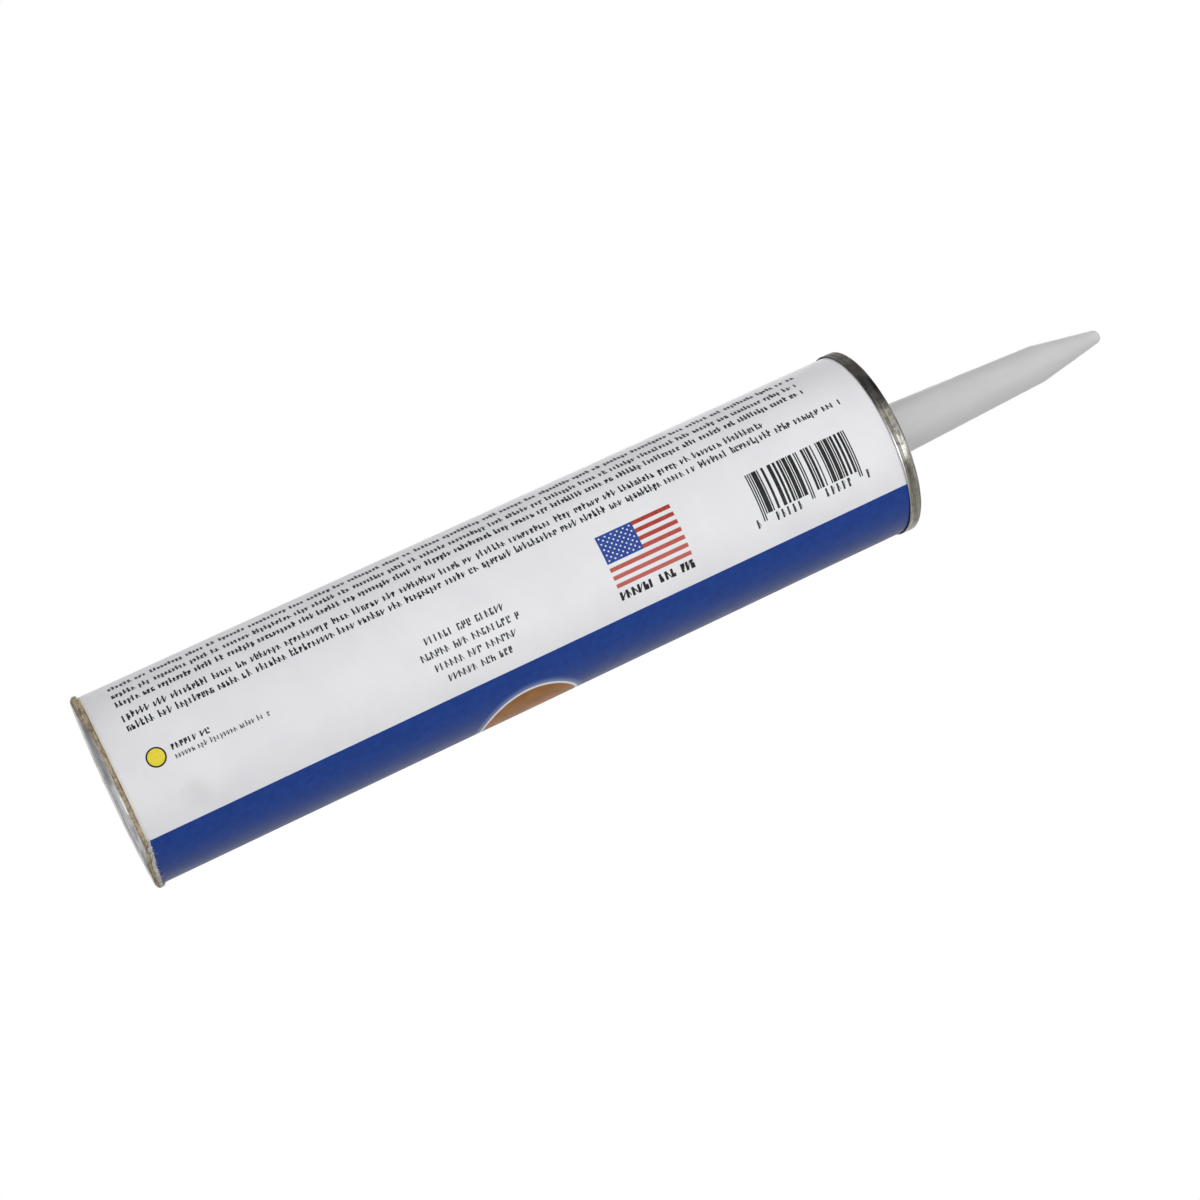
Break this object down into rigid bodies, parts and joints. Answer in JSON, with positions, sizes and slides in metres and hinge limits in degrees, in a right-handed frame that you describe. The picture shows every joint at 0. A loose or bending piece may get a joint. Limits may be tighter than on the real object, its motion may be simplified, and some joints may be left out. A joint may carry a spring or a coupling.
{
  "type": "caulk tube",
  "caption": "Board sealant cartridge with a rolled rear rim, printed label, crimped tin front end, tapered closed nozzle and a plunger that slides in its bore.",
  "frame": {"origin": "centre of the rear rim, on the plane that the tube stands on", "axes": "+Z along the tube's axis towards the nozzle; -Y through the middle of the white side of the label, +X towards its blue side"},
  "size_m": [0.0516, 0.0516, 0.2865],
  "materials": {
    "board": "raw fibre",
    "foil": "wrinkled satin",
    "label_paper": "satin coated",
    "blue_ink": "satin print",
    "dark_ink": "satin print",
    "red_ink": "satin print",
    "navy_ink": "satin print",
    "white_ink": "satin print",
    "amber_ink": "satin print",
    "yellow_ink": "satin print",
    "tinplate": "tarnished and scratched",
    "soft_plastic": "milky translucent",
    "plunger_plastic": "moulded",
    "sealant": "smooth paste"
  },
  "bodies": {
    "tube": {"tube_body": "board", "foil_liner": "foil", "label": "label_paper", "blue_panel": "blue_ink", "label_text": "dark_ink", "barcode": "dark_ink", "flag_stripes": "red_ink", "flag_canton": "navy_ink", "flag_stars": "white_ink", "emblem_disc": "amber_ink", "emblem_ring": "white_ink", "yellow_spot": "yellow_ink", "spot_edge": "dark_ink", "front_end": "tinplate", "nozzle": "soft_plastic", "nozzle_seal": "foil", "sealant": "sealant"},
    "plunger": {"plunger": "plunger_plastic"}
  },
  "joints": [
    {"name": "plunger_slide", "type": "slide", "parent": "tube", "child": "plunger", "axis": [0, 0, 1], "range_m": [0, 0.17], "deforming": ["sealant"]}
  ]
}
